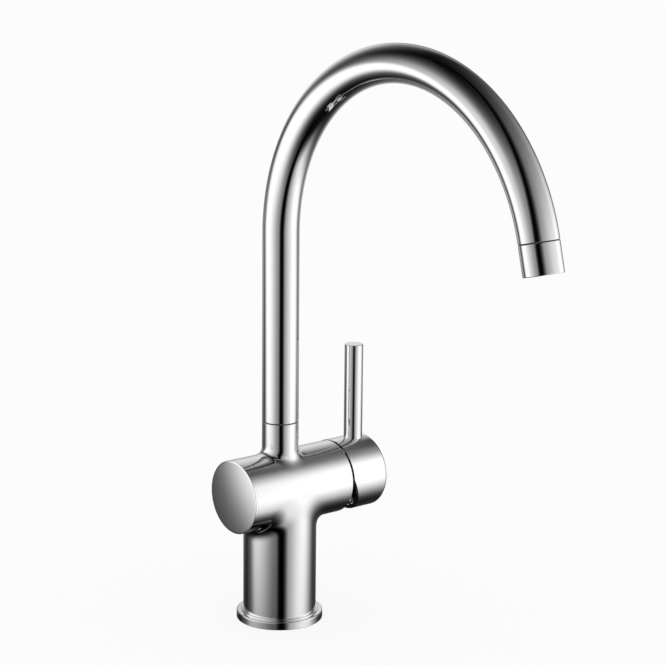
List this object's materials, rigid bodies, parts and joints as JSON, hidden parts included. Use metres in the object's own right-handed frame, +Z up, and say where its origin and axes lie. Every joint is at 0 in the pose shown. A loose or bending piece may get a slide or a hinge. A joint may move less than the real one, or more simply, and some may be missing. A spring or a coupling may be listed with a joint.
{
  "type": "three way filtered water tap",
  "caption": "Swan-neck kitchen tap for hot, cold and filtered water: a side lever turns and tilts a ceramic disc cartridge, and the spout swivels on the neck.",
  "frame": {"origin": "centre of the stud hole's mouth: on the worktop plane, on the axis of the column", "axes": "+Z up along the column, +X along the barrel towards the lever, -Y along the spout towards the user"},
  "size_m": [0.1157, 0.2864, 0.4019],
  "materials": {
    "chrome": "polished mirror chrome plate on brass",
    "brass": "turned brass",
    "steel": "fine turned stainless steel",
    "rubber": "matt black sealing rubber",
    "ceramic": "lapped alumina",
    "white_plastic": "moulded acetal",
    "grey_plastic": "moulded plastic",
    "black_plastic": "low friction plastic"
  },
  "bodies": {
    "tap_body": {"valve_body": "chrome", "base_ring": "chrome", "base_seal": "rubber", "end_cap": "chrome", "end_cap_o_ring": "rubber", "port_plate": "grey_plastic", "port_seals": "rubber", "fixed_ceramic_disc": "ceramic", "cartridge_housing": "grey_plastic", "cartridge_nut": "brass", "cartridge_dome": "black_plastic", "spout_glide_ring": "black_plastic", "spout_stop_screw": "steel", "filter_spigot": "brass", "filter_o_ring": "rubber"},
    "spout": {"spout_tube": "chrome", "spout_foot": "brass", "spout_o_rings": "rubber", "filter_tube": "white_plastic", "outlet_ferrule": "brass", "aerator_housing": "chrome", "outlet_gasket": "rubber", "aerator_washer": "rubber", "aerator_core": "white_plastic", "aerator_mesh": "steel", "filter_nozzle": "grey_plastic"},
    "lever_turret": {"cartridge_turret": "white_plastic", "turret_o_ring": "rubber", "stem_pivot_pin": "steel"},
    "lever": {"stem": "steel", "lever_cap": "chrome", "lever_pin": "chrome", "lever_grub_screw": "steel", "lever_screw_plug": "grey_plastic"},
    "disc_pack": {"moving_ceramic_disc": "ceramic", "disc_carrier": "white_plastic"}
  },
  "joints": [
    {"name": "spout_swivel", "type": "hinge", "parent": "tap_body", "child": "spout", "pos_m": [0, 0, 0.1392], "axis": [0, 0, 1], "range_deg": [-110, 110]},
    {"name": "lever_turn", "type": "hinge", "parent": "tap_body", "child": "lever_turret", "pos_m": [0.033, 0, 0.0922], "axis": [1, 0, 0], "range_deg": [-60, 90]},
    {"name": "lever_tilt", "type": "hinge", "parent": "lever_turret", "child": "lever", "pos_m": [0.033, 0, 0.0922], "axis": [0, 1, 0], "range_deg": [0, 21]},
    {"name": "disc_slide", "type": "slide", "parent": "lever_turret", "child": "disc_pack", "axis": [0, 0, 1], "range_m": [0, 0.0047]}
  ],
  "couplings": [
    {"joint": "disc_slide", "follows": "lever_tilt", "m_per_rad": 0.012711}
  ]
}
